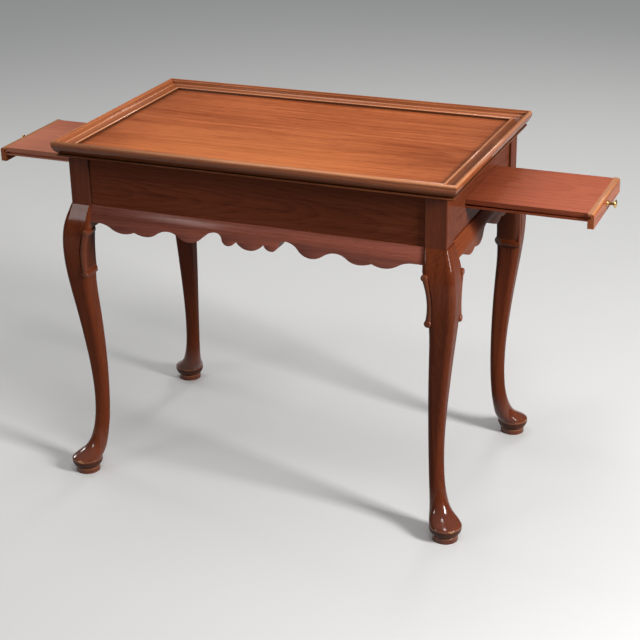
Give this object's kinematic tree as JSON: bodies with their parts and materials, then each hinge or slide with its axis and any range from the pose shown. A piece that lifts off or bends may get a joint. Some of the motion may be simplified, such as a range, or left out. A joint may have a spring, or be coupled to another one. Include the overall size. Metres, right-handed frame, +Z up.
{
  "type": "tea table",
  "caption": "Rectangular tea table with a moulded tray top, cabriole legs on pad feet, scalloped aprons, C-scroll brackets and a pull-out candle slide at each end.",
  "frame": {"origin": "on the floor, under the middle of the table", "axes": "+X along the length towards the right slide, +Y to the back, +Z up"},
  "size_m": [1.194, 0.5062, 0.672],
  "materials": {
    "tray_wood": "polished varnish over orange-brown mahogany",
    "rim_wood": "polished varnish over red-brown mahogany",
    "frame_wood": "polished varnish over dark red-brown mahogany",
    "leg_wood": "polished varnish over red-brown mahogany",
    "slide_wood": "satin varnish over mahogany",
    "lip_wood": "satin varnish over mahogany",
    "inner_wood": "planed, unvarnished secondary wood",
    "brass": "handled, lightly tarnished brass",
    "screw_steel": "dull steel"
  },
  "bodies": {
    "table": {"top_board": "tray_wood", "rim_front": "rim_wood", "neck_front": "rim_wood", "frieze_front": "frame_wood", "apron_front": "frame_wood", "rim_back": "rim_wood", "neck_back": "rim_wood", "frieze_back": "frame_wood", "apron_back": "frame_wood", "rim_left": "rim_wood", "neck_left": "rim_wood", "frieze_left": "frame_wood", "apron_left": "frame_wood", "rim_right": "rim_wood", "neck_right": "rim_wood", "frieze_right": "frame_wood", "apron_right": "frame_wood", "leg_front_left": "leg_wood", "long_scroll_front_left": "leg_wood", "end_scroll_front_left": "leg_wood", "corner_block_front_left": "inner_wood", "leg_front_right": "leg_wood", "long_scroll_front_right": "leg_wood", "end_scroll_front_right": "leg_wood", "corner_block_front_right": "inner_wood", "leg_back_left": "leg_wood", "long_scroll_back_left": "leg_wood", "end_scroll_back_left": "leg_wood", "corner_block_back_left": "inner_wood", "leg_back_right": "leg_wood", "long_scroll_back_right": "leg_wood", "end_scroll_back_right": "leg_wood", "corner_block_back_right": "inner_wood", "slide_runner_front": "inner_wood", "slide_runner_back": "inner_wood", "slide_centre_stop": "inner_wood", "top_screws": "screw_steel"},
    "slide_left": {"slide_left_board": "slide_wood", "slide_left_lip": "lip_wood", "slide_left_knob": "brass", "slide_left_stop_pins": "inner_wood"},
    "slide_right": {"slide_right_board": "slide_wood", "slide_right_lip": "lip_wood", "slide_right_knob": "brass", "slide_right_stop_pins": "inner_wood"}
  },
  "joints": [
    {"name": "slide_left_pull", "type": "slide", "parent": "table", "child": "slide_left", "axis": [-1, 0, 0], "range_m": [-0.213, 0]},
    {"name": "slide_right_pull", "type": "slide", "parent": "table", "child": "slide_right", "axis": [1, 0, 0], "range_m": [-0.213, 0]}
  ]
}
